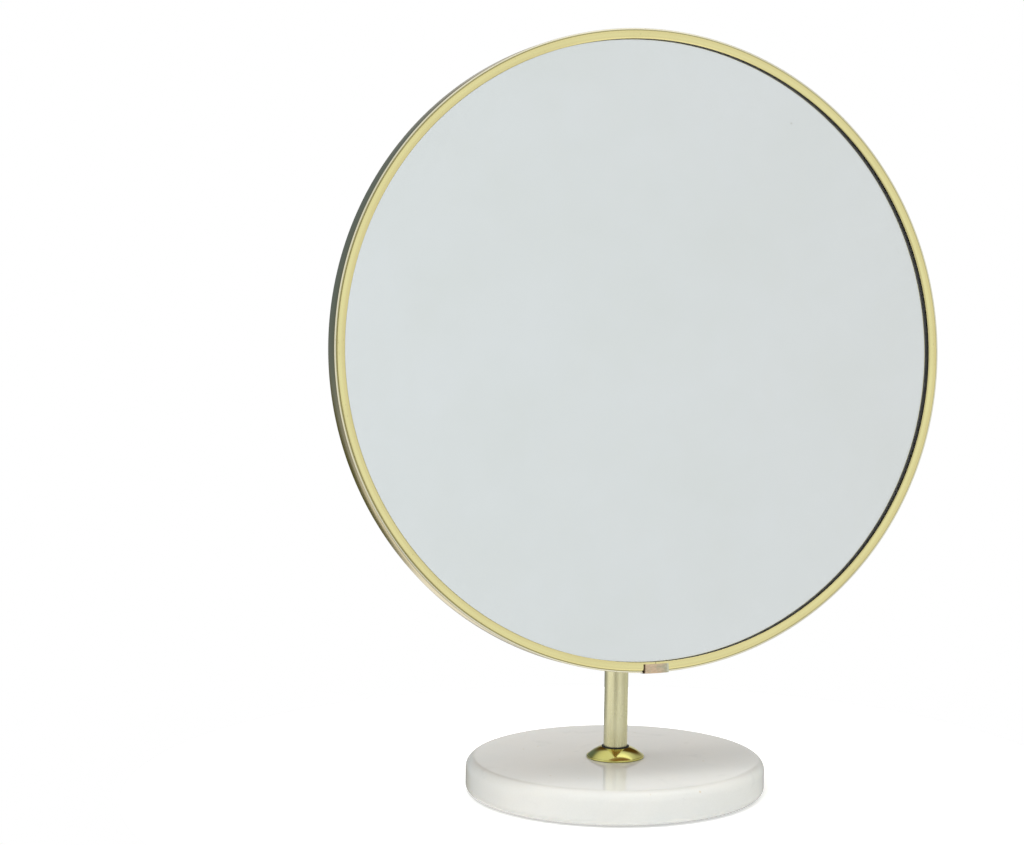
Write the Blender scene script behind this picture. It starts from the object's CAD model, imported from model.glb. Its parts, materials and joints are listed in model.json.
"""Round countertop mirror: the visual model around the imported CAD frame.

Every piece is built in metres in the CAD's own frame. Sizes and places come
from the boxes of the CAD nodes. Named values give what no box holds: sizes
inside a node, edge roundings and surface details.
"""
import json
import math
import random

import bmesh
import bpy
from mathutils import Matrix, Vector


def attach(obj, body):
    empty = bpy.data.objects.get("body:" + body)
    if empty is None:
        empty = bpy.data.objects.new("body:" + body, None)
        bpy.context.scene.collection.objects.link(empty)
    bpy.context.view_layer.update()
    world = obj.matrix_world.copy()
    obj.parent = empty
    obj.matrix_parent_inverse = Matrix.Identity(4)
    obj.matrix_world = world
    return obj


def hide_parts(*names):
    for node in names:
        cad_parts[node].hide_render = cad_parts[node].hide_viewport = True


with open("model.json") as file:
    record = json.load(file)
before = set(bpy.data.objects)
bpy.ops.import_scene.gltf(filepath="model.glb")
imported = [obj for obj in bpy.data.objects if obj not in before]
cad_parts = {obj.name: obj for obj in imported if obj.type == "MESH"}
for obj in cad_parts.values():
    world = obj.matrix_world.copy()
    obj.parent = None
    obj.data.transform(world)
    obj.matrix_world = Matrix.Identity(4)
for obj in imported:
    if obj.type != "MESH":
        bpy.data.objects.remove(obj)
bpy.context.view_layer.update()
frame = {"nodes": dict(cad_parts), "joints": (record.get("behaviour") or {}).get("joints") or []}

nodes = frame["nodes"]
MM = 0.001

# ------------------------------------------------------------------ places

tilt = next(j for j in frame["joints"] if j["name"] == "head_tilt")
pivot = Vector(tilt["pos_m"])


def lean_of(node):
    """How far a flat disc node leans back, from the way its front face looks."""
    normal = Vector()
    for face in nodes[node].data.polygons:
        if face.normal.y < -0.9:
            normal += face.normal * face.area
    return math.atan2(normal.z, -normal.y)


lean = lean_of("mirror_glass")
STAND = Matrix.Identity(4)
HEAD = Matrix.Translation(pivot) @ Matrix.Rotation(-lean, 4, "X")


def span(node, axes=STAND):
    """Lowest and highest corner of a CAD node in the given axes."""
    back = axes.inverted()
    points = [back @ v.co for v in nodes[node].data.vertices]
    low = Vector([min(p[k] for p in points) for k in range(3)])
    high = Vector([max(p[k] for p in points) for k in range(3)])
    return low, high


def radius(node, axes=STAND):
    """Half the width of a round CAD node along X."""
    low, high = span(node, axes)
    return (high.x - low.x) / 2


def reach(node):
    """Least and greatest distance of a node of the head from the mirror's own axis."""
    back = HEAD.inverted()
    away = [math.hypot(p.x, p.z) for p in (back @ v.co for v in nodes[node].data.vertices)]
    return min(away), max(away)


# Axes whose Z is a lathe's axis: the mirror's own axis, with the glass upwards,
# and the tilt axis.
FACE_AXES = HEAD @ Matrix.Rotation(math.radians(90), 4, "X")
ROUND_X = HEAD @ Matrix.Rotation(math.radians(90), 4, "Y")


def on_back(x, y, z):
    """Axes at a point of the head, whose Z points out of the wooden back."""
    return HEAD @ Matrix.Translation((x, y, z)) @ Matrix.Rotation(math.radians(-90), 4, "X")


# Sizes inside the CAD nodes that no node's box gives
FIT = 0.05 * MM             # clearance of a sliding fit
ROD_SLIP = 0.3 * MM         # between the tie rod and what it runs through
COUNTERBORE = 17 / 15       # the counterbore's radius over the clamp washer's
TUBE_WALL = 1.5 * MM
FIBRE_T = 1.0 * MM          # thickness of a fibre washer
PIVOT_R = 3 * MM            # the pivot screw's shank
PIVOT_HOLE_R = 3.05 * MM    # the bore for it in the eye and the cheeks
FLANGE_T = 3 * MM           # the bracket's round flange
CHEEK_T = 2.5 * MM
CHEEK_END_R = 10 * MM       # the cheek's round end
CHEEK_ROOT = 17 * MM        # half the cheek's width at the flange
SCREW_R = 1.75 * MM         # the wood screws' holes in the flange
SCREW_HEAD_R = 3.6 * MM     # their countersinks, at the flange's face


# ------------------------------------------------------------------ meshes

def rounded(corners, closed=True, steps=5):
    """A flat outline from corners (x, y, rounding radius)."""
    points = []
    count = len(corners)
    for i, (x, y, bend) in enumerate(corners):
        here = Vector((x, y))
        at_end = not closed and i in (0, count - 1)
        if bend == 0 or at_end:
            points.append(here)
            continue
        back = (Vector(corners[i - 1][:2]) - here).normalized()
        ahead = (Vector(corners[(i + 1) % count][:2]) - here).normalized()
        half = back.angle(ahead) / 2
        centre = here + (back + ahead).normalized() * (bend / math.sin(half))
        start = here + back * (bend / math.tan(half)) - centre
        end = here + ahead * (bend / math.tan(half)) - centre
        points += [centre + bend * start.slerp(end, k / steps) for k in range(steps + 1)]
    return points


def skin(name, rings, axes=STAND, ring_closed=True, rings_closed=False, caps=False, crease=32):
    """A mesh through rings of points that all have the same number of points.

    The corner attribute "along" holds the distance from ring to ring, and
    round the ring, in metres.
    """
    count, total = len(rings[0]), len(rings)
    steps_u = [max((rings[(i + 1) % total][j] - rings[i][j]).length for j in range(count))
               for i in range(total)]
    steps_v = [(rings[0][(j + 1) % count] - rings[0][j]).length for j in range(count)]
    if sum(steps_v) == 0:
        steps_v = [(rings[total // 2][(j + 1) % count] - rings[total // 2][j]).length
                   for j in range(count)]
    along_u = [sum(steps_u[:i]) for i in range(total + 1)]
    along_v = [sum(steps_v[:j]) for j in range(count + 1)]
    bm = bmesh.new()
    layer = bm.loops.layers.float_vector.new("along")
    verts = [[bm.verts.new(p) for p in ring] for ring in rings]
    for i in range(total if rings_closed else total - 1):
        for j in range(count if ring_closed else count - 1):
            at = [(i, j), (i, j + 1), (i + 1, j + 1), (i + 1, j)]
            face = bm.faces.new([verts[a % total][b % count] for a, b in at])
            for loop, (a, b) in zip(face.loops, at):
                loop[layer] = Vector((along_u[a], along_v[b], 0))
    if caps:
        for i, ring in ((0, verts[0]), (total - 1, verts[-1])):
            face = bm.faces.new(ring)
            for loop, v in zip(face.loops, along_v):
                loop[layer] = Vector((along_u[i], v, 0))
    return finish_mesh(name, bm, axes, crease)


def finish_mesh(name, bm, axes, crease):
    """Welds and orients a bmesh and makes it an object with creased smooth shading."""
    bmesh.ops.remove_doubles(bm, verts=bm.verts, dist=1e-7)
    wires = [e for e in bm.edges if not e.link_faces]
    bmesh.ops.delete(bm, geom=wires, context="EDGES")
    bmesh.ops.recalc_face_normals(bm, faces=bm.faces)
    bm.transform(axes)
    mesh = bpy.data.meshes.new(name)
    bm.to_mesh(mesh)
    bm.free()
    mesh.shade_smooth()
    mesh.set_sharp_from_angle(angle=math.radians(crease))
    piece = bpy.data.objects.new(name, mesh)
    bpy.context.scene.collection.objects.link(piece)
    return piece


def lathe(name, profile, axes=STAND, turn=360.0, start=0.0, segments=128, crease=32):
    """Turns a profile of (radius, height) points about the axes' Z.

    A profile that starts on the axis is open; any other is a closed section.
    """
    full = turn >= 360
    count = segments if full else segments + 1
    rings = []
    for i in range(count):
        a = math.radians(start + turn * i / segments)
        rings.append([Vector((r * math.cos(a), r * math.sin(a), z)) for r, z in profile])
    closed = profile[0][0] > 1e-9
    return skin(name, rings, axes, closed, full, caps=not full, crease=crease)


def disc_profile(r, low, high, edge):
    """Half the section of a solid disc with a small rounding on both edges."""
    return rounded([(0, low, 0), (r, low, edge), (r, high, edge), (0, high, 0)], closed=False)


def ring_profile(r_in, r_out, low, high, edge):
    """The section of a ring with a small rounding on its outer edges."""
    return rounded([(r_in, low, 0), (r_out, low, edge), (r_out, high, edge), (r_in, high, 0)])


def arc(centre, r, start, end, steps):
    """Points on an arc about a centre, its angles in radians."""
    angles = [start + (end - start) * k / steps for k in range(steps + 1)]
    return [centre + Vector((r * math.cos(a), r * math.sin(a))) for a in angles]


def slab(name, outline, hole, low, high, edge, axes):
    """A flat plate with a hole, as rings of points; outline and hole have as many points each.

    The plate's faces are at heights low and high round the hole. They sink by edge towards
    the outline, and rise to it again over the last of the way, at 45 degrees.
    """
    steps = 4
    centre = sum(outline, Vector((0, 0))) / len(outline)

    def at(points, z, inset=0.0):
        moved = [p + (centre - p).normalized() * inset for p in points]
        return [Vector((p.x, p.y, z)) for p in moved]

    rings = [at(hole, low)]
    for k in range(steps + 1):
        sunk = edge * (1 - math.sin(math.radians(90 * k / steps)))
        rings.append(at(outline, low + sunk, sunk))
    for k in range(steps + 1):
        sunk = edge * (1 - math.cos(math.radians(90 * k / steps)))
        rings.append(at(outline, high - sunk, sunk))
    rings.append(at(hole, high))
    return skin(name, rings, axes, rings_closed=True)


def circle(r, count, x=0.0, y=0.0, start=0.0):
    """Points round a circle, from the given angle on."""
    angles = [math.radians(start) + 2 * math.pi * k / count for k in range(count)]
    return [Vector((x + r * math.cos(a), y + r * math.sin(a))) for a in angles]


def boolean(piece, other, operation):
    """Cuts another mesh out of a piece, or joins it on, and removes the other."""
    step = piece.modifiers.new("step", "BOOLEAN")
    step.object = other
    step.operation = operation
    step.solver = "EXACT"
    graph = bpy.context.evaluated_depsgraph_get()
    made = bpy.data.meshes.new_from_object(piece.evaluated_get(graph), depsgraph=graph)
    piece.modifiers.clear()
    piece.data = made
    made.shade_smooth()
    made.set_sharp_from_angle(angle=math.radians(30))
    bpy.data.objects.remove(other)
    return piece


def block(name, low, high, axes):
    """A plain box, only ever used to cut a slot."""
    ring = [Vector((low.x, low.y)), Vector((high.x, low.y)),
            Vector((high.x, high.y)), Vector((low.x, high.y))]
    rings = [[Vector((p.x, p.y, z)) for p in ring] for z in (low.z, high.z)]
    return skin(name, rings, axes, caps=True)


def joined(name, parts):
    """One piece from several separate shells."""
    bm = bmesh.new()
    for part in parts:
        bm.from_mesh(part.data)
        bpy.data.objects.remove(part)
    mesh = bpy.data.meshes.new(name)
    bm.to_mesh(mesh)
    bm.free()
    piece = bpy.data.objects.new(name, mesh)
    bpy.context.scene.collection.objects.link(piece)
    return piece


# --------------------------------------------------------------- materials

class Shade:
    """A material's node tree with short calls for the nodes used here."""

    def __init__(self, name):
        self.material = bpy.data.materials.new(name)
        self.material.use_nodes = True
        self.tree = self.material.node_tree
        self.tree.nodes.clear()
        self.shader = self.add("BsdfPrincipled")
        out = self.add("OutputMaterial")
        self.tree.links.new(self.shader.outputs[0], out.inputs["Surface"])

    def add(self, kind, inputs=None, **settings):
        node = self.tree.nodes.new("ShaderNode" + kind)
        for key, value in settings.items():
            setattr(node, key, value)
        for key, value in (inputs or {}).items():
            self.put(node.inputs[key], value)
        return node

    def put(self, socket, value):
        """Links an output to a socket, or sets the socket's own value."""
        if isinstance(value, bpy.types.NodeSocket):
            self.tree.links.new(value, socket)
        elif socket.type == "RGBA":
            socket.default_value = (*value, 1)
        else:
            socket.default_value = value

    def surface(self, **values):
        """Sets sockets of the surface shader; an underscore stands for a space."""
        for key, value in values.items():
            self.put(self.shader.inputs[key.replace("_", " ")], value)

    def place(self, scale=(1, 1, 1)):
        """The point in the piece's own frame, in metres, stretched by scale."""
        point = self.add("TexCoord").outputs["Object"]
        return self.add("Mapping", {"Vector": point, "Scale": scale}).outputs[0]

    def along(self, scale=(1, 1, 1)):
        """Distances over the skin of a piece, in metres, stretched by scale."""
        point = self.add("Attribute", attribute_name="along").outputs["Vector"]
        return self.add("Mapping", {"Vector": point, "Scale": scale}).outputs[0]

    def noise(self, where, scale=1.0, detail=3.0, roughness=0.5, distortion=0.0):
        inputs = {"Vector": where, "Scale": scale, "Detail": detail,
                  "Roughness": roughness, "Distortion": distortion}
        return self.add("TexNoise", inputs).outputs["Fac"]

    def spots(self, where, scale):
        """Distance to the nearest of many scattered points."""
        return self.add("TexVoronoi", {"Vector": where, "Scale": scale}).outputs["Distance"]

    def fit(self, value, low, high, to_low=0.0, to_high=1.0):
        """Maps low..high to to_low..to_high and stops there."""
        inputs = {"Value": value, "From Min": low, "From Max": high,
                  "To Min": to_low, "To Max": to_high}
        return self.add("MapRange", inputs, clamp=True).outputs["Result"]

    def math(self, operation, a, b=0.0):
        node = self.add("Math", operation=operation)
        self.put(node.inputs[0], a)
        self.put(node.inputs[1], b)
        return node.outputs[0]

    def mix(self, share, a, b):
        node = self.add("Mix", data_type="RGBA")
        self.put(node.inputs[0], share)
        self.put(node.inputs[6], a)
        self.put(node.inputs[7], b)
        return node.outputs[2]

    def bump(self, height, depth, strength=1.0):
        """A bump whose height of 0 to 1 stands for depth metres."""
        inputs = {"Height": height, "Distance": depth, "Strength": strength}
        self.surface(Normal=self.add("Bump", inputs).outputs[0])


def marble():
    """Polished white marble with grey clouds, thin veins and a few brown flecks."""
    m = Shade("marble")
    cloud = m.noise(m.place((1, 1, 1.6)), 9, detail=5, roughness=0.55, distortion=0.8)
    vein = m.noise(m.place((1, 1, 1.4)), 16, detail=6, roughness=0.6, distortion=2.5)
    fleck = m.spots(m.place(), 55)
    grain = m.noise(m.place(), 900, detail=2)
    colour = m.mix(m.fit(cloud, 0.35, 0.7), (0.675, 0.668, 0.635), (0.625, 0.635, 0.615))
    colour = m.mix(m.fit(vein, 0.60, 0.72, 0, 0.35), colour, (0.52, 0.525, 0.51))
    colour = m.mix(m.fit(fleck, 0.035, 0.06, 0.5, 0), colour, (0.55, 0.43, 0.24))
    colour = m.mix(m.fit(grain, 0.4, 0.7, 0, 0.10), colour, (0.80, 0.79, 0.77))
    wear = m.noise(m.place(), 40, detail=4)
    m.surface(Base_Color=colour, Roughness=m.fit(wear, 0.3, 0.75, 0.06, 0.14),
              IOR=1.5, Subsurface_Weight=0.12, Subsurface_Radius=(0.012, 0.010, 0.007))
    m.shader.inputs["Subsurface Scale"].default_value = 0.3
    m.bump(m.math("ADD", m.math("MULTIPLY", wear, 0.7), m.math("MULTIPLY", grain, 0.3)), 0.00003)
    return m.material


def gilt(name, bright, dull, rough, streaks, grain=0.000012, tarnish=(0.30, 0.24, 0.10), brushed=0.0):
    """Gold-coloured metal with drawing lines along the part, uneven gloss and dull patches."""
    m = Shade(name)
    line = m.noise(m.along(streaks), 1, detail=3, roughness=0.7)
    patch = m.noise(m.place(), 28, detail=4, roughness=0.6)
    spot = m.spots(m.place(), 260)
    colour = m.mix(m.fit(patch, 0.3, 0.75), bright, dull)
    colour = m.mix(m.fit(line, 0.35, 0.75, 0, 0.35), colour, dull)
    speck = m.math("MULTIPLY", m.fit(spot, 0.05, 0.11, 1, 0), m.fit(patch, 0.52, 0.62))
    colour = m.mix(m.math("MULTIPLY", speck, 0.6), colour, tarnish)
    gloss = m.math("ADD", m.fit(line, 0.3, 0.7, 0, 0.08), m.fit(patch, 0.3, 0.7, rough, rough + 0.07))
    m.surface(Base_Color=colour, Metallic=1.0, Roughness=gloss)
    if brushed:
        m.surface(Anisotropic=brushed, Anisotropic_Rotation=0.25,
                  Tangent=m.add("Tangent", direction_type="RADIAL", axis="Z").outputs[0])
    m.bump(line, grain)
    return m.material


def frame_metal():
    """The frame's gilding: worn pale on the bead, browned in the groove and dulled on the rim."""
    m = Shade("frame_gilt")
    point = m.add("Attribute", attribute_name="along").outputs["Vector"]
    section = m.add("SeparateXYZ", {"Vector": point}).outputs["Y"]

    def within(span_here, soft):
        start, end = span_here
        return m.math("MULTIPLY", m.fit(section, start - soft, start + soft),
                      m.fit(section, end - soft, end + soft, 1, 0))

    line = m.noise(m.along((5, 2600, 1)), 1, detail=3, roughness=0.7)
    broad = m.noise(m.along((4, 380, 1)), 1, detail=2)
    patch = m.noise(m.place(), 22, detail=4, roughness=0.6)
    spot = m.spots(m.place(), 300)
    gold = m.mix(m.fit(line, 0.3, 0.8, 0, 0.45), (0.93, 0.84, 0.42), (0.86, 0.74, 0.32))
    gold = m.mix(m.fit(patch, 0.45, 0.75, 0, 0.4), gold, (0.84, 0.74, 0.36))
    aged = m.mix(m.fit(broad, 0.35, 0.65), (0.72, 0.63, 0.37), (0.58, 0.49, 0.25))
    colour = m.mix(m.math("MULTIPLY", within(RIM_SPAN, 0.0003), 0.85), gold, aged)
    colour = m.mix(m.math("MULTIPLY", within(BEAD_SPAN, 0.0002), 0.65), colour, (0.95, 0.93, 0.85))
    colour = m.mix(m.math("MULTIPLY", within(EDGE_SPAN, 0.00005), 0.8), colour, (0.45, 0.33, 0.17))
    colour = m.mix(m.math("MULTIPLY", within(GROOVE_SPAN, 0.0001), 0.8), colour, (0.32, 0.29, 0.13))
    speck = m.math("MULTIPLY", m.fit(spot, 0.05, 0.12, 1, 0), m.fit(patch, 0.53, 0.62))
    colour = m.mix(m.math("MULTIPLY", speck, 0.55), colour, (0.26, 0.20, 0.08))
    gloss = m.math("ADD", m.fit(line, 0.3, 0.7, 0.10, 0.17), m.fit(patch, 0.4, 0.8, 0, 0.10))
    m.surface(Base_Color=colour, Metallic=1.0, Roughness=gloss)
    m.bump(line, 0.00001)
    return m.material


def tarnished_clip():
    """The joint clip: blotchy brown and greenish grey, with black-brown dirt at its left end."""
    m = Shade("clip_metal")
    point = m.add("Attribute", attribute_name="along").outputs["Vector"]
    from_end = m.add("SeparateXYZ", {"Vector": point}).outputs["X"]
    patch = m.noise(m.place(), 150, detail=5, roughness=0.7)
    small = m.noise(m.place((1, 1, 1.3)), 420, detail=3)
    fine = m.noise(m.along((300, 1600, 1)), 1, detail=3)
    greener = m.math("ADD", m.fit(from_end, 0.006, 0.019), m.fit(patch, 0.35, 0.65, -0.6, 0.6))
    colour = m.mix(m.fit(greener, 0.1, 0.9), (0.74, 0.55, 0.38), (0.50, 0.49, 0.35))
    colour = m.mix(m.fit(small, 0.5, 0.7, 0, 0.5), colour, (0.80, 0.70, 0.52))
    colour = m.mix(m.fit(fine, 0.45, 0.8, 0, 0.5), colour, (0.34, 0.23, 0.12))
    colour = m.mix(m.fit(from_end, 0.0006, 0.0014, 0.95, 0), colour, (0.07, 0.035, 0.012))
    colour = m.mix(m.fit(from_end, 0.0174, 0.0182, 0, 0.7), colour, (0.72, 0.74, 0.60))
    m.surface(Base_Color=colour, Metallic=0.9, Roughness=m.fit(patch, 0.3, 0.7, 0.26, 0.48))
    m.bump(m.math("ADD", patch, m.math("MULTIPLY", fine, 0.4)), 0.00007)
    return m.material


def mirror_glass():
    """Clear plate glass with faint smears on its surface."""
    m = Shade("plate_glass")
    smear = m.noise(m.place((1, 1, 0.6)), 12, detail=5, roughness=0.65, distortion=0.6)
    tint = m.mix(smear, (0.962, 0.973, 0.968), (0.974, 0.980, 0.975))
    m.surface(Base_Color=tint, Roughness=m.fit(smear, 0.5, 0.8, 0.0, 0.035),
              IOR=1.52, Transmission_Weight=1.0)
    return m.material


def silvering():
    """The silver behind the glass, with age spots and cloudy areas."""
    m = Shade("silvering")
    cloud = m.noise(m.place(), 14, detail=6, roughness=0.6)
    weave = m.noise(m.place((1, 1, 0.4)), 60, detail=4)
    dot = m.spots(m.place(), 42)
    pin = m.spots(m.place((1.3, 1, 0.9)), 120)
    colour = m.mix(m.fit(cloud, 0.35, 0.7), (0.915, 0.918, 0.925), (0.893, 0.898, 0.892))
    colour = m.mix(m.fit(weave, 0.5, 0.8, 0, 0.5), colour, (0.90, 0.90, 0.895))
    thin = m.fit(cloud, 0.50, 0.60)
    colour = m.mix(m.math("MULTIPLY", m.fit(dot, 0.016, 0.034, 0.7, 0), thin), colour, (0.42, 0.38, 0.33))
    colour = m.mix(m.math("MULTIPLY", m.fit(pin, 0.03, 0.06, 0.5, 0), thin), colour, (0.55, 0.51, 0.47))
    m.surface(Base_Color=colour, Metallic=1.0, Roughness=m.fit(cloud, 0.4, 0.8, 0.02, 0.05))
    return m.material


def teak():
    """Flat-cut veneer: straight upright fibres, broad growth bands and pores, under worn lacquer."""
    m = Shade("teak_veneer")
    fibre = m.noise(m.place((900, 1, 9)), 1, detail=4, roughness=0.6)
    band = m.noise(m.place((26, 1, 1.1)), 1, detail=3, distortion=0.35)
    broad = m.noise(m.place((7, 1, 1.6)), 1, detail=2)
    pore = m.noise(m.place((2600, 1, 60)), 1, detail=2)
    colour = m.mix(m.fit(band, 0.3, 0.7), (0.40, 0.155, 0.012), (0.30, 0.095, 0.004))
    colour = m.mix(m.fit(broad, 0.35, 0.7, 0, 0.55), colour, (0.42, 0.18, 0.020))
    colour = m.mix(m.fit(fibre, 0.42, 0.72, 0, 0.42), colour, (0.47, 0.21, 0.030))
    colour = m.mix(m.fit(fibre, 0.50, 0.26, 0, 0.55), colour, (0.22, 0.066, 0.003))
    colour = m.mix(m.fit(pore, 0.66, 0.74, 0, 0.7), colour, (0.09, 0.028, 0.004))
    m.surface(Base_Color=colour, Roughness=m.fit(fibre, 0.3, 0.7, 0.36, 0.52),
              Specular_IOR_Level=0.3, Coat_Weight=0.12, Coat_Roughness=0.3)
    m.bump(m.math("SUBTRACT", fibre, m.fit(pore, 0.64, 0.74)), 0.00005)
    return m.material


def brass(name, bright, dull, rough):
    """Solid brass, turned or cast, with browned patches and fine handling marks."""
    m = Shade(name)
    line = m.noise(m.along((60, 3000, 1)), 1, detail=2)
    patch = m.noise(m.place(), 90, detail=5, roughness=0.6)
    scuff = m.noise(m.place(), 700, detail=3)
    colour = m.mix(m.fit(patch, 0.35, 0.7), bright, dull)
    colour = m.mix(m.fit(patch, 0.62, 0.80, 0, 0.6), colour, (0.24, 0.15, 0.05))
    gloss = m.math("ADD", m.fit(patch, 0.3, 0.7, rough, rough + 0.10), m.fit(scuff, 0.45, 0.8, 0, 0.12))
    m.surface(Base_Color=colour, Metallic=1.0, Roughness=gloss)
    m.bump(m.math("ADD", line, m.math("MULTIPLY", scuff, 0.5)), 0.00001)
    return m.material


def steel():
    """Plain steel with rusty patches."""
    m = Shade("steel")
    patch = m.noise(m.place(), 120, detail=5)
    fine = m.noise(m.place((1, 1, 12)), 500, detail=2)
    colour = m.mix(m.fit(patch, 0.4, 0.7), (0.55, 0.55, 0.53), (0.40, 0.39, 0.37))
    colour = m.mix(m.fit(patch, 0.66, 0.76, 0, 0.7), colour, (0.25, 0.14, 0.07))
    m.surface(Base_Color=colour, Metallic=1.0, Roughness=m.fit(patch, 0.3, 0.7, 0.30, 0.48))
    m.bump(fine, 0.00002)
    return m.material


def fibre(name, colour, lighter, scale=700):
    """Pressed fibre, rubber or card: matt, with a fine mottled grain."""
    m = Shade(name)
    grain = m.noise(m.place(), scale, detail=4, roughness=0.65)
    broad = m.noise(m.place(), 60, detail=3)
    mixed = m.mix(m.fit(grain, 0.35, 0.7), colour, lighter)
    mixed = m.mix(m.fit(broad, 0.5, 0.8, 0, 0.4), mixed, colour)
    m.surface(Base_Color=mixed, Roughness=m.fit(grain, 0.3, 0.7, 0.62, 0.86))
    m.bump(grain, 0.00006)
    return m.material


def felt():
    """Dark green felt with matted fibres."""
    m = Shade("felt")
    hair = m.noise(m.place(), 1500, detail=5, roughness=0.75, distortion=1.5)
    tuft = m.noise(m.place(), 180, detail=4)
    colour = m.mix(m.fit(hair, 0.3, 0.7), (0.045, 0.065, 0.040), (0.105, 0.135, 0.090))
    colour = m.mix(m.fit(tuft, 0.5, 0.8, 0, 0.5), colour, (0.13, 0.14, 0.11))
    m.surface(Base_Color=colour, Roughness=m.fit(hair, 0.3, 0.7, 0.88, 1.0),
              Sheen_Weight=0.35, Sheen_Roughness=0.5)
    m.bump(m.math("ADD", hair, tuft), 0.0002)
    return m.material


def plywood():
    """Bare plywood."""
    m = Shade("plywood")
    fibre_line = m.noise(m.place((300, 300, 12)), 1, detail=4)
    colour = m.mix(m.fit(fibre_line, 0.35, 0.7), (0.52, 0.36, 0.20), (0.38, 0.24, 0.12))
    m.surface(Base_Color=colour, Roughness=m.fit(fibre_line, 0.3, 0.7, 0.6, 0.8))
    m.bump(fibre_line, 0.00008)
    return m.material


# ------------------------------------------------------------ stand pieces

def foot_disc():
    """The marble disc: a large rounding above, a smaller one below, bored for the rod."""
    low, high = span("marble_base")
    r = radius("marble_base")
    wide = radius("clamp_washer") * COUNTERBORE
    bore = radius("tie_rod") + ROD_SLIP
    step = span("clamp_washer")[1].z
    mouth_edge, low_edge, top_edge = 0.3 * MM, 5 * MM, 8 * MM
    corners = [(bore, step, 0), (wide, step, 0), (wide, low.z, mouth_edge),
               (r, low.z, low_edge), (r, high.z, top_edge), (bore, high.z, 0)]
    return lathe("marble_disc", rounded(corners, steps=14), segments=256)


def felt_pad():
    """A cut felt disc whose edge is slightly uneven and soft."""
    low, high = span("base_felt")
    r = radius("base_felt")
    rng = random.Random(7)
    last_phase = 6.3
    waves = [(n, rng.uniform(0, last_phase), rng.uniform(0.05, 0.16) * MM) for n in (3, 5, 11, 23, 47)]
    room, soft_edge = 0.6 * MM, 0.35 * MM
    edge_only = 20
    profile = disc_profile(r - room, low.z, high.z, soft_edge)
    pad = lathe("felt_pad", profile, segments=240)
    for v in pad.data.vertices:
        a = math.atan2(v.co.y, v.co.x)
        outward = Vector((v.co.x, v.co.y)).length / r
        push = sum(size * math.sin(n * a + phase) for n, phase, size in waves) * outward ** edge_only
        v.co.x += push * math.cos(a)
        v.co.y += push * math.sin(a)
    return pad


def collar():
    """The domed collar: part of a sphere from its rolled rim up to the dark washer's seat."""
    low, high = span("foot_collar")
    rim_r, ledge = 0.8 * MM, 0.2 * MM
    rim = Vector((radius("foot_collar") - rim_r, rim_r))
    rim_top = rim + Vector((0, rim_r))
    seat = Vector((radius("foot_washer") + ledge, high.z - low.z))
    centre = Vector((0, (rim_top.length_squared - seat.length_squared) / (rim_top.y - seat.y) / 2))
    dome_r = (seat - centre).length
    bore = radius("tie_rod") + ROD_SLIP
    profile = [Vector((bore, 0))] + arc(rim, rim_r, -math.pi / 2, math.pi / 2, 16)
    profile += arc(centre, dome_r, math.acos(rim_top.x / dome_r), math.acos(seat.x / dome_r), 24)[1:]
    profile.append(Vector((bore, seat.y)))
    return lathe("domed_collar", [p + Vector((0, low.z)) for p in profile], segments=160)


def dark_washer():
    """The thin dark washer between the collar and the post."""
    low, high = span("foot_washer")
    bore, edge = radius("tie_rod") + ROD_SLIP, 0.12 * MM
    profile = ring_profile(bore, radius("foot_washer"), low.z, high.z, edge)
    return lathe("dark_washer", profile)


def post():
    """The tube, its ends deburred."""
    low, high = span("post_tube")
    r = radius("post_tube")
    bore = r - TUBE_WALL
    inner_edge, low_edge, top_edge = 0.2 * MM, 0.4 * MM, 0.25 * MM
    corners = [(bore, low.z, inner_edge), (r, low.z, low_edge),
               (r, high.z, top_edge), (bore, high.z, inner_edge)]
    return lathe("post_tube_skin", rounded(corners), segments=96)


def post_eye():
    """The plug's shoulder, and above it the flat-sided eye with its round top."""
    low, high = span("post_head")
    r = radius("post_head")
    flat = span("friction_washers", HEAD)[1].x - FIBRE_T - FIT
    shoulder_low = span("post_tube")[1].z
    shoulder_high = shoulder_low + 4 * MM
    low_edge, top_edge = 0.2 * MM, 0.4 * MM
    spigot_r = r - TUBE_WALL - FIT
    around, over_top = 96, 24
    thinnest = 0.02 * MM

    def level(z, side, depth, radius_here):
        ring = circle(radius_here, around)
        return [Vector((max(-side, min(side, p.x)), max(-depth, min(depth, p.y)), z)) for p in ring]

    rings = [level(low.z, r, r, spigot_r), level(shoulder_low, r, r, spigot_r),
             level(shoulder_low, r, r, r - low_edge), level(shoulder_low + low_edge, r, r, r),
             level(shoulder_high - top_edge, r, r, r), level(shoulder_high, r, r, r - top_edge),
             level(shoulder_high, flat, r, r), level(pivot.z, flat, r, r)]
    for k in range(1, over_top + 1):
        a = math.radians(90 * k / over_top)
        rings.append(level(pivot.z + r * math.sin(a), flat, max(r * math.cos(a), thinnest), r))
    eye = skin("post_eye", rings, caps=True)
    bore = lathe("bore", disc_profile(PIVOT_HOLE_R, -r, r, 0), ROUND_X, segments=48)
    return boolean(eye, bore, "DIFFERENCE")


# ------------------------------------------------------------- head pieces

def lathe_span(node):
    """Lowest and highest height of a node along the mirror's own axis, front face up."""
    low, high = span(node, HEAD)
    return -high.y, -low.y


WALL = 1.0 * MM             # thickness of the frame's metal
BEAD = 0.75 * MM            # radius of the bead round the rim's front edge
GROOVE = 0.3 * MM           # width of the groove between the bead and the lip's face
GROOVE_DEPTH = 0.2 * MM
FACE_RISE = 1.2 * MM        # how far the lip's face stands in front of the bead
FACE_R = 8.3 * MM           # radius of the face's curve across its width
CROWN_IN = 3.4 * MM         # from the lip's inner edge to the face's crown
LIP_T = 0.7 * MM            # thickness of the lip's inner edge
LIP_SOLID = 3.4 * MM        # outside this distance from the rim the lip is thick


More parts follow.
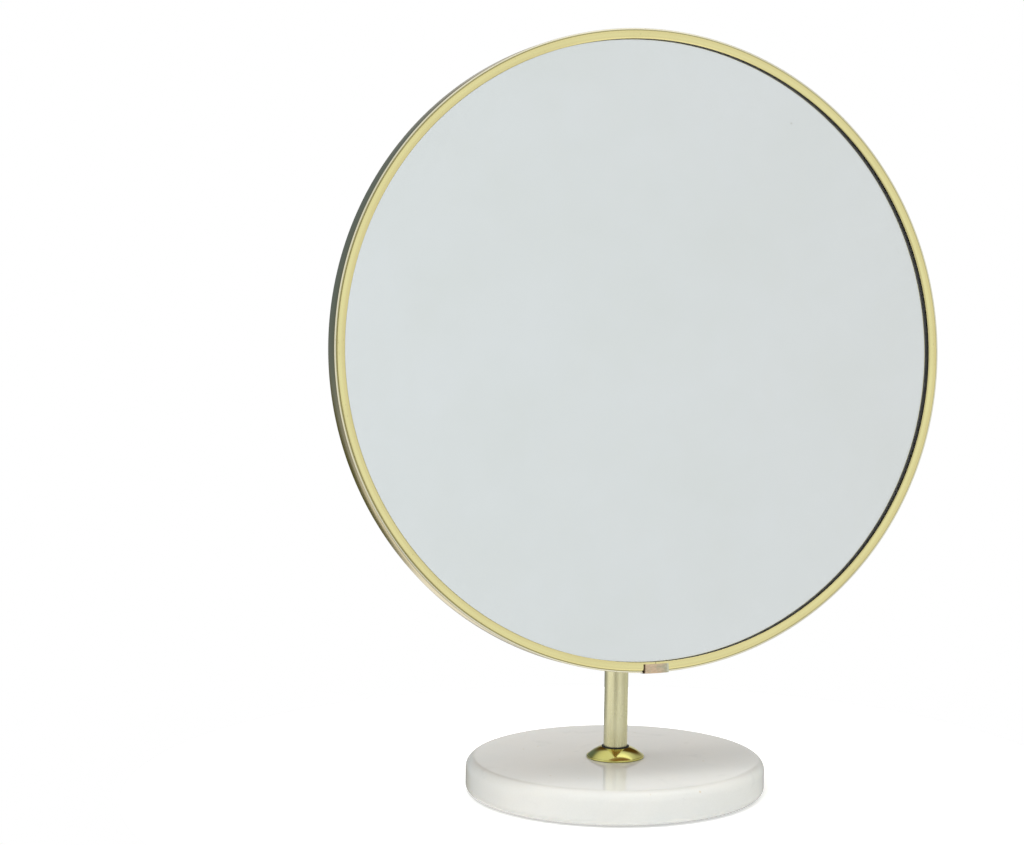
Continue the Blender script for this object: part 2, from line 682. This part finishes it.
def channel_section():
    """Section of the frame: the rim, the back lip, the channel's inside, then the front lip
    with its curved face, the groove at the face's foot and the bead."""
    low, high = lathe_span("frame_ring")
    lip, r = reach("frame_ring")
    bead_top = high - FACE_RISE
    bead = Vector((r - BEAD, bead_top - BEAD))
    groove_floor = bead_top - GROOVE_DEPTH
    face_out = r - 2 * BEAD - GROOVE
    channel_top = bead_top - 2 * BEAD

    def face(x):
        """Height of the face at a distance from the mirror's axis."""
        return high - FACE_R + math.sqrt(FACE_R ** 2 - (x - lip - CROWN_IN) ** 2)

    under = face(lip) - LIP_T
    corners = [(r, bead.y, 0), (r, low, BEAD), (lip, low, 0.45 * MM), (lip, low + WALL, 0.45 * MM),
               (r - WALL, low + WALL, 0.3 * MM), (r - WALL, channel_top, 0.2 * MM),
               (r - LIP_SOLID, channel_top, 0.2 * MM), (r - LIP_SOLID, under, 0.2 * MM),
               (lip, under, 0.32 * MM), (lip, face(lip), 0.5 * MM)]
    first = lip + 0.8 * MM
    for k in range(12):
        x = first + (face_out - first) * k / 12
        corners.append((x, face(x), 0))
    corners += [(face_out, face(face_out), 0.1 * MM), (face_out, groove_floor, 0.06 * MM)]
    foot = math.asin(1 - GROOVE_DEPTH / BEAD)
    for p in arc(bead, BEAD, math.pi - foot, 0, 12)[:-1]:
        corners.append((p.x, p.y, 0))
    return rounded(corners, steps=6)


def section_span(inside):
    """Where the part of the section that meets a test lies in the distance round it."""
    run, found = 0.0, []
    section = channel_section()
    for a, b in zip(section, section[1:]):
        step = (b - a).length
        if inside((a + b) / 2):
            found += [run, run + step]
        run += step
    return min(found), max(found)


def frame_ring():
    """The channel, rolled to a circle whose ends nearly meet at the lowest point."""
    gap_len = 0.4 * MM
    gap = math.degrees(gap_len / reach("frame_ring")[1])
    return lathe("frame_channel", channel_section(), FACE_AXES,
                 turn=360 - gap, start=-90 + gap / 2, segments=480)


def joint_clip():
    """A strip of sheet folded round the frame's joint, with soft folds."""
    low, high = lathe_span("joint_clip")
    r = reach("frame_ring")[1]
    r_in, r_out = reach("joint_clip")
    sheet = r_out - r
    cut, outer_fold, inner_fold = 0.15 * MM, 1.2 * MM, 0.7 * MM
    corners = [(r_in, low, cut), (r + sheet, low, outer_fold), (r + sheet, high, outer_fold),
               (r_in, high, cut), (r_in, high - sheet, cut),
               (r, high - sheet, inner_fold), (r, low + sheet, inner_fold), (r_in, low + sheet, cut)]
    clip_len = 19 * MM
    turn = math.degrees(clip_len / r)
    return lathe("joint_clip_skin", rounded(corners, steps=6), FACE_AXES,
                 turn=turn, start=-90 - turn / 2, segments=40)


def disc(name, node, edge, gap=0.0, segments=256):
    """A flat round layer of the head, its faces drawn in by gap from its neighbours."""
    low, high = lathe_span(node)
    profile = disc_profile(radius(node, HEAD), low + gap, high - gap, edge)
    return lathe(name, profile, FACE_AXES, segments=segments)


def plate_outline(half_len, half_w, per_end=12):
    """A plate with round ends, as points in the face's plane."""
    points = []
    for side, start in ((1, -90), (-1, 90)):
        for k in range(per_end + 1):
            a = math.radians(start + 180 * k / per_end)
            points.append(Vector((side * (half_len - half_w) + half_w * math.cos(a),
                                  half_w * math.sin(a))))
    return points


def maker_plate():
    """The small blank plate, a fine line sunk in its face inside the border."""
    low, high = span("maker_plate", HEAD)
    axes = on_back(0, low.y, (high.z + low.z) / 2)
    thick = high.y - low.y

    def level(z, inset):
        half_len, half_w = (high.x - low.x) / 2 - inset, (high.z - low.z) / 2 - inset
        return [Vector((p.x, p.y, z)) for p in plate_outline(half_len, half_w)]

    edge, border, line, line_depth = 0.15 * MM, 0.75 * MM, 0.23 * MM, 0.12 * MM
    floor_out = border + line_depth
    rings = [level(0, 0), level(thick - edge, 0), level(thick, edge), level(thick, border),
             level(thick - line_depth, floor_out), level(thick - line_depth, floor_out + line),
             level(thick, floor_out + line + line_depth)]
    return skin("maker_plate_blank", rings, axes, caps=True)


def plate_pins():
    """Two round-headed escutcheon pins."""
    low, high = span("plate_pins", HEAD)
    head_r = (high.z - low.z) / 2
    plate_front = span("maker_plate", HEAD)[1].y
    middle = (high.z + low.z) / 2
    tip_r, shank_r = 0.55 * MM, 0.7 * MM
    tip_len, taper_len = 0.4 * MM, 1.2 * MM
    pins = []
    for side in (-1, 1):
        x = side * (high.x - head_r)
        axes = on_back(x, 0, middle)
        profile = [(0, low.y), (tip_r, low.y + tip_len), (shank_r, low.y + taper_len),
                   (shank_r, plate_front), (head_r, plate_front)]
        for k in range(1, 7):
            a = math.radians(15 * k)
            profile.append((head_r * math.cos(a), plate_front + (high.y - plate_front) * math.sin(a)))
        pins.append(lathe("pin", profile, axes, segments=32))
    return joined("plate_pin_pair", pins)


def screw_places():
    """Points of the bracket's four screws on the wooden face, in the head's axes."""
    low, high = span("bracket_screws", HEAD)
    away = (high.x - low.x) / 2 - SCREW_HEAD_R
    face = span("back_veneer", HEAD)[1].y
    return [Vector((away * a, face, away * b)) for a in (-1, 1) for b in (-1, 1)]


def bracket():
    """The flange and its two cheeks, one casting."""
    face = span("back_veneer", HEAD)[1].y
    r = radius("pivot_bracket", HEAD)
    back_edge, front_edge = 0.2 * MM, 1.5 * MM
    into_flange, cheek_edge = 0.6 * MM, 0.4 * MM
    tiny = 1e-6
    cheek_in = span("friction_washers", HEAD)[1].x + FIT
    corners = [(0, 0, 0), (r, 0, back_edge), (r, FLANGE_T, front_edge), (0, FLANGE_T, 0)]
    body = lathe("pivot_bracket_casting", rounded(corners, closed=False), on_back(0, face, 0), segments=128)
    root = Vector((face + FLANGE_T - into_flange, CHEEK_ROOT))
    tangent = math.atan2(root.y, root.x) - math.acos(CHEEK_END_R / root.length)
    count = 96
    outline = []
    for k in range(count):
        a = 2 * math.pi * k / count - math.pi
        toward = Vector((math.cos(a), math.sin(a)))
        away = CHEEK_END_R
        if abs(a) > abs(tangent):
            side = Vector((math.cos(tangent), math.copysign(math.sin(abs(tangent)), a)))
            away = min(CHEEK_END_R / max(toward.dot(side), tiny), root.x / min(toward.x, -tiny))
        outline.append(toward * abs(away))
    hole = circle(PIVOT_HOLE_R, count, start=-180)
    for side in (-1, 1):
        near = cheek_in if side > 0 else -cheek_in - CHEEK_T
        cheek_axes = HEAD @ Matrix.Translation((near, 0, 0)) @ Matrix(
            ((0, 0, 1, 0), (1, 0, 0, 0), (0, 1, 0, 0), (0, 0, 0, 1)))
        cheek = slab("cheek", outline, hole, 0, CHEEK_T, cheek_edge, cheek_axes)
        boolean(body, cheek, "UNION")
    past = 1 * MM
    for point in screw_places():
        sink = [(0, -past), (SCREW_R, -past), (SCREW_R, FLANGE_T - SCREW_HEAD_R + SCREW_R),
                (SCREW_HEAD_R, FLANGE_T), (SCREW_HEAD_R, FLANGE_T + past), (0, FLANGE_T + past)]
        boolean(body, lathe("sink", sink, on_back(*point), segments=48), "DIFFERENCE")
    return body


def bracket_screws():
    """Four countersunk slotted screws, each stopped at its own angle."""
    low = span("bracket_screws", HEAD)[0]
    tip_r, shank_r, head_r, face_r = 1.2 * MM, 1.7 * MM, 3.52 * MM, 3.4 * MM
    tip_len, taper_len = 1 * MM, 2 * MM
    neck, head_edge, top = FLANGE_T - 1.9 * MM, FLANGE_T - 0.12 * MM, FLANGE_T - 0.02 * MM
    slot_half_w, slot_half_len, slot_depth, past = 0.4 * MM, 4 * MM, 0.9 * MM, 1 * MM
    screws = []
    for point, slot_turn in zip(screw_places(), (24, 71, -38, 5)):
        axes = on_back(*point)
        tip = low.y - point.y
        corners = [(0, tip, 0), (tip_r, tip + tip_len, 0), (shank_r, tip + taper_len, 0),
                   (shank_r, neck, 0), (head_r, head_edge, 0.08 * MM), (face_r, top, 0), (0, top, 0)]
        screw = lathe("screw", rounded(corners, closed=False), axes, segments=48)
        slot_axes = axes @ Matrix.Rotation(math.radians(slot_turn), 4, "Z")
        slot = block("slot", Vector((-slot_half_len, -slot_half_w, FLANGE_T - slot_depth)),
                     Vector((slot_half_len, slot_half_w, FLANGE_T + past)), slot_axes)
        screws.append(boolean(screw, slot, "DIFFERENCE"))
    return joined("bracket_screw_set", screws)


def pivot_screw():
    """The slotted pivot screw through the hinge; its head is to the left."""
    low, high = span("pivot_screw", HEAD)
    head_r = (high.z - low.z) / 2
    cheek_x = -(span("friction_washers", HEAD)[1].x + FIT + CHEEK_T)
    end_edge, under_edge = 0.5 * MM, 0.15 * MM
    slot_half_w, slot_half_len, slot_depth, past = 0.6 * MM, 7 * MM, 1.4 * MM, 1 * MM
    corners = [(0, low.x, 0), (head_r, low.x, end_edge), (head_r, cheek_x, under_edge),
               (PIVOT_R, cheek_x, 0), (PIVOT_R, high.x, end_edge), (0, high.x, 0)]
    screw = lathe("pivot_screw_turned", rounded(corners, closed=False), ROUND_X, segments=64)
    slot_turn = 33
    axes = ROUND_X @ Matrix.Rotation(math.radians(slot_turn), 4, "Z")
    slot = block("slot", Vector((-slot_half_w, -slot_half_len, low.x - past)),
                 Vector((slot_half_w, slot_half_len, low.x + slot_depth)), axes)
    return boolean(screw, slot, "DIFFERENCE")


def knob():
    """The clamp knob, fluted all round except for a plain band at its inner edge."""
    low, high = span("clamp_knob", HEAD)
    r = (high.z - low.z) / 2
    flutes, flute_r, flute_out = 40, 0.8 * MM, 0.3 * MM
    per_flute = 10
    count = flutes * per_flute
    plain, edge, cap = 2 * MM, 1 * MM, 2 * MM

    def scalloped(radius_here, share):
        """A ring whose radius dips into the flutes by a share of their depth."""
        ring = []
        for k in range(count):
            a = 2 * math.pi * k / count
            off = (a + math.pi / flutes) % (2 * math.pi / flutes) - math.pi / flutes
            across = (r + flute_out) * math.sin(off)
            dip = radius_here
            if abs(across) < flute_r:
                dip = (r + flute_out) * math.cos(off) - math.sqrt(flute_r ** 2 - across ** 2)
            away = radius_here + (min(dip, radius_here) - radius_here) * share
            ring.append((away * math.cos(a), away * math.sin(a)))
        return ring

    def level(x, radius_here, share=0.0):
        return [Vector((p[0], p[1], x)) for p in scalloped(radius_here, share)]

    insert_r, inner_edge, run_in = 5 * MM, 0.3 * MM, 0.15 * MM
    border, slope, recess, centre_r = 2.2 * MM, 0.4 * MM, 0.35 * MM, 0.4 * MM
    rings = [level(high.x - cap, insert_r), level(low.x, insert_r), level(low.x, r - inner_edge),
             level(low.x + inner_edge, r), level(low.x + plain - run_in, r),
             level(low.x + plain, r, 0.4), level(low.x + plain + run_in, r, 1)]
    for k in range(7):
        a = math.radians(15 * k)
        rings.append(level(high.x - edge + edge * math.sin(a), r - edge + edge * math.cos(a), 1))
    rings += [level(high.x, r - border), level(high.x - recess, r - border - slope),
              level(high.x - recess, centre_r)]
    return skin("clamp_knob_fluted", rings, ROUND_X, caps=True, crease=28)


# ---------------------------------------------------------------- assembly

frame_edge = reach("frame_ring")[1]
frame_front = lathe_span("frame_ring")[1]
groove_out = frame_edge - 2 * BEAD
bead_middle = frame_front - FACE_RISE - BEAD
RIM_DEEP = 0.02 * MM        # the rim's flat side lies this close to the frame's edge
EDGE_DEEP = 0.12 * MM       # and the bead's browned outer end this close
BEAD_IN, BEAD_OUT = 0.3 * MM, 0.05 * MM     # the pale part of the bead stops short by these
DIRT_IN, DIRT_OUT = 0.05 * MM, 0.15 * MM    # dirt reaches past the groove by these
DIRT_HIGH = 0.8 * MM
RIM_SPAN = section_span(lambda p: p.x > frame_edge - RIM_DEEP and p.y < bead_middle)
EDGE_SPAN = section_span(lambda p: p.x > frame_edge - EDGE_DEEP and p.y > bead_middle)
BEAD_SPAN = section_span(lambda p: groove_out + BEAD_IN < p.x < frame_edge - BEAD_OUT
                         and p.y > bead_middle)
GROOVE_SPAN = section_span(lambda p: groove_out - GROOVE - DIRT_IN < p.x < groove_out + DIRT_OUT
                           and abs(p.y - frame_front + FACE_RISE) < DIRT_HIGH)

frame_gilt = frame_metal()
post_gilt = gilt("post_gilt", (0.86, 0.83, 0.57), (0.80, 0.76, 0.47), 0.20, (900, 4, 1),
                 grain=0.000003, brushed=0.8)
hinge_brass = brass("hinge_brass", (0.80, 0.66, 0.33), (0.60, 0.46, 0.20), 0.26)
turned_brass = brass("turned_brass", (0.84, 0.72, 0.34), (0.66, 0.52, 0.22), 0.18)
collar_brass = gilt("collar_brass", (0.73, 0.72, 0.27), (0.67, 0.60, 0.15), 0.035, (30, 2400, 1))
black_fibre = fibre("black_fibre", (0.012, 0.012, 0.016), (0.035, 0.035, 0.042))
brown_fibre = fibre("brown_fibre", (0.10, 0.045, 0.02), (0.20, 0.10, 0.05))
card_paper = fibre("card", (0.30, 0.24, 0.16), (0.42, 0.35, 0.25), scale=500)
steel_metal = steel()

BUILT = [
    # piece, body, material, slot, the CAD nodes it stands for
    (foot_disc(), "stand", marble(), "marble", ["marble_base"]),
    (felt_pad(), "stand", felt(), "felt", ["base_felt"]),
    (collar(), "stand", collar_brass, "collar_brass", ["foot_collar"]),
    (dark_washer(), "stand", black_fibre, "black_fibre", ["foot_washer"]),
    (post(), "stand", post_gilt, "post_gilt", ["post_tube"]),
    (post_eye(), "stand", post_gilt, "post_gilt", ["post_head"]),
    (frame_ring(), "head", frame_gilt, "frame_gilt", ["frame_ring"]),
    (joint_clip(), "head", tarnished_clip(), "clip_metal", ["joint_clip"]),
    (disc("glass_disc", "mirror_glass", 0.5 * MM), "head", mirror_glass(), "plate_glass", ["mirror_glass"]),
    (disc("silver_layer", "silver_coat", 0.02 * MM, gap=0.03 * MM), "head", silvering(), "silvering",
     ["silver_coat"]),
    (disc("veneer_face", "back_veneer", 0.05 * MM), "head", teak(), "teak_veneer", ["back_veneer"]),
    (maker_plate(), "head", gilt("plate_metal", (0.62, 0.58, 0.40), (0.46, 0.42, 0.27), 0.30, (40, 2400, 1)),
     "plate_metal", ["maker_plate"]),
    (plate_pins(), "head", turned_brass, "turned_brass", ["plate_pins"]),
    (bracket(), "head", hinge_brass, "hinge_brass", ["pivot_bracket"]),
    (bracket_screws(), "head", turned_brass, "turned_brass", ["bracket_screws"]),
    (pivot_screw(), "head", turned_brass, "turned_brass", ["pivot_screw"]),
    (knob(), "knob", turned_brass, "turned_brass", ["clamp_knob"]),
]
for piece, body, material, slot, stands_for in BUILT:
    piece.data.materials.clear()
    piece.data.materials.append(material)
    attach(piece, body)
    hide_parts(*stands_for)

KEPT = {
    "foot_bush": hinge_brass,
    "knob_insert": hinge_brass,
    "tie_rod": steel_metal,
    "clamp_washer": steel_metal,
    "lock_washer": steel_metal,
    "clamp_nut": steel_metal,
    "spring_washer": steel_metal,
    "joint_tongue": steel_metal,
    "glazing_strip": black_fibre,
    "friction_washers": brown_fibre,
    "backing_card": card_paper,
    "back_board": plywood(),
}
for name, material in KEPT.items():
    nodes[name].data.materials.clear()
    nodes[name].data.materials.append(material)


# --------------------------------------------------------------- the studio

FLOOR_R = 0.36
FLOOR_SUNK = 0.2 * MM       # keeps the sheet off the felt
CLEAR_R = 0.12              # the sheet's own light grows from here to its edge


def floor():
    """A wide pale sheet under the foot, brighter towards its edge."""
    disc_floor = lathe("floor", [(0, 0), (FLOOR_R / 2, 0), (FLOOR_R, 0)], segments=96)
    m = Shade("floor_paper")
    grain = m.noise(m.place(), 300, detail=3)
    colour = m.mix(m.fit(grain, 0.3, 0.7), (0.90, 0.90, 0.90), (0.92, 0.92, 0.92))
    out = m.add("VectorMath", {"Vector": m.place()}, operation="LENGTH").outputs["Value"]
    m.surface(Base_Color=colour, Roughness=0.9, Emission_Color=(1, 1, 1),
              Emission_Strength=m.fit(out, CLEAR_R, FLOOR_R, 0.28, 0.60))
    disc_floor.data.materials.append(m.material)
    disc_floor.location.z = -FLOOR_SUNK
    disc_floor.visible_glossy = False


CAMERA_AT = Vector((-0.781, -2.095, 0.562))
LOOK = Vector((0.3587, 0.9249, -0.1264)).normalized()
ROLL = math.radians(1.02)
SENSOR = 36                 # millimetres, as is the focal length
FOCAL = 108.97
SHIFT = (-0.1455, -0.0037)


def camera():
    """A long lens at the photograph's viewing angle."""
    data = bpy.data.cameras.new("camera")
    data.sensor_width = SENSOR
    data.lens = FOCAL
    data.shift_x, data.shift_y = SHIFT
    data.clip_start, data.clip_end = 0.05, 50
    right = LOOK.cross(Vector((0, 0, 1))).normalized()
    up = right.cross(LOOK)
    rolled_right = math.cos(ROLL) * right + math.sin(ROLL) * up
    rolled_up = math.cos(ROLL) * up - math.sin(ROLL) * right
    turn = Matrix((rolled_right, rolled_up, -LOOK)).transposed()
    seen = bpy.data.objects.new("camera", data)
    seen.matrix_world = Matrix.Translation(CAMERA_AT) @ turn.to_4x4()
    bpy.context.scene.collection.objects.link(seen)
    bpy.context.scene.camera = seen


def studio_light():
    """A white backdrop, and what the metal sees: a dim room with soft lamps in it."""
    world = bpy.data.worlds.new("studio")
    bpy.context.scene.world = world
    world.use_nodes = True
    tree = world.node_tree
    tree.nodes.clear()

    def add(kind, **settings):
        node = tree.nodes.new("ShaderNode" + kind)
        for key, value in settings.items():
            setattr(node, key, value)
        return node

    def lobe(towards, inner, outer):
        """1 within inner degrees of a direction, falling to 0 at outer degrees."""
        aim = Vector(towards).normalized()
        dot = add("VectorMath", operation="DOT_PRODUCT")
        tree.links.new(direction, dot.inputs[0])
        dot.inputs[1].default_value = aim
        ramp = add("MapRange", interpolation_type="SMOOTHSTEP", clamp=True)
        tree.links.new(dot.outputs["Value"], ramp.inputs["Value"])
        ramp.inputs["From Min"].default_value = math.cos(math.radians(outer))
        ramp.inputs["From Max"].default_value = math.cos(math.radians(inner))
        return ramp.outputs["Result"]

    def over(colour, share, under):
        node = add("Mix", data_type="RGBA")
        tree.links.new(share, node.inputs[0])
        tree.links.new(under, node.inputs[6])
        node.inputs[7].default_value = (*colour, 1)
        return node.outputs[2]

    direction = add("TexCoord").outputs["Generated"]
    base = add("RGB")
    base.outputs[0].default_value = (0.42, 0.42, 0.41, 1)
    seen = base.outputs[0]
    for colour, towards, inner, outer in STUDIO_LOBES:
        seen = over(colour, lobe(towards, inner, outer), seen)
    rays = add("LightPath").outputs["Is Camera Ray"]
    seen = over((1, 1, 1), rays, seen)
    background = add("Background")
    tree.links.new(seen, background.inputs["Color"])
    tree.links.new(background.outputs[0], add("OutputWorld").inputs["Surface"])


STUDIO_LOBES = [
    # colour, direction, inner and outer half angle in degrees
    ((0.85, 0.85, 0.84), (0, 0, 1), 25, 60),
    ((1.35, 1.35, 1.33), (0.32, -0.12, 0.94), 12, 26),
    ((0.62, 0.62, 0.55), (0.99, 0.10, 0.0), 20, 45),
    ((0.95, 0.95, 0.92), (-0.98, -0.20, 0.05), 24, 54),
    ((0.14, 0.175, 0.20), (-0.30, 0.92, 0.20), 16, 32),
    ((1.00, 0.96, 0.88), (0.0, 0.80, -0.60), 16, 24),
    ((0.09, 0.09, 0.03), (-0.06, 0.96, -0.26), 6, 11),
    ((0.10, 0.05, 0.01), (0.36, 0.78, 0.58), 20, 30),
    ((0.68, 0.68, 0.67), (0.40, 0.90, 0.17), 9, 15),
    ((0.86, 0.87, 0.87), (0.30, -0.93, 0.12), 24, 44),
    ((0.755, 0.765, 0.765), (0.40, -0.91, 0.12), 16, 34),
    ((0.82, 0.86, 0.87), (0.10, -0.98, 0.14), 4, 24),
    ((0.74, 0.74, 0.72), (0.76, -0.64, -0.06), 5, 22),
    ((0.55, 0.55, 0.52), (-0.36, -0.92, -0.15), 8, 20),
    ((0.75, 0.75, 0.73), (0.15, -0.45, -0.88), 25, 45),
    ((1.00, 1.00, 0.98), (0.30, -0.76, -0.58), 8, 18),
]


LAMP_AIM = Vector((0, 0, 0.25))


def area_lamp(name, at, size, watts):
    """A square softbox that faces the mirror."""
    data = bpy.data.lights.new(name, "AREA")
    data.energy = watts
    data.size = size
    lamp = bpy.data.objects.new(name, data)
    lamp.location = at
    lamp.rotation_euler = (LAMP_AIM - Vector(at)).to_track_quat("-Z", "Y").to_euler()
    lamp.visible_camera = False
    lamp.visible_glossy = False
    lamp.visible_transmission = False
    bpy.context.scene.collection.objects.link(lamp)


floor()
camera()
studio_light()
area_lamp("key_lamp", (-1.6, -1.8, 2.2), 1.6, 4.2)
area_lamp("fill_lamp", (1.8, -1.4, 1.4), 1.6, 1.8)
area_lamp("top_lamp", (-0.4, -0.3, 2.4), 1.8, 45)
area_lamp("back_lamp", (0.8, 2.0, 1.8), 1.6, 8)
bpy.context.scene.view_settings.view_transform = "Standard"
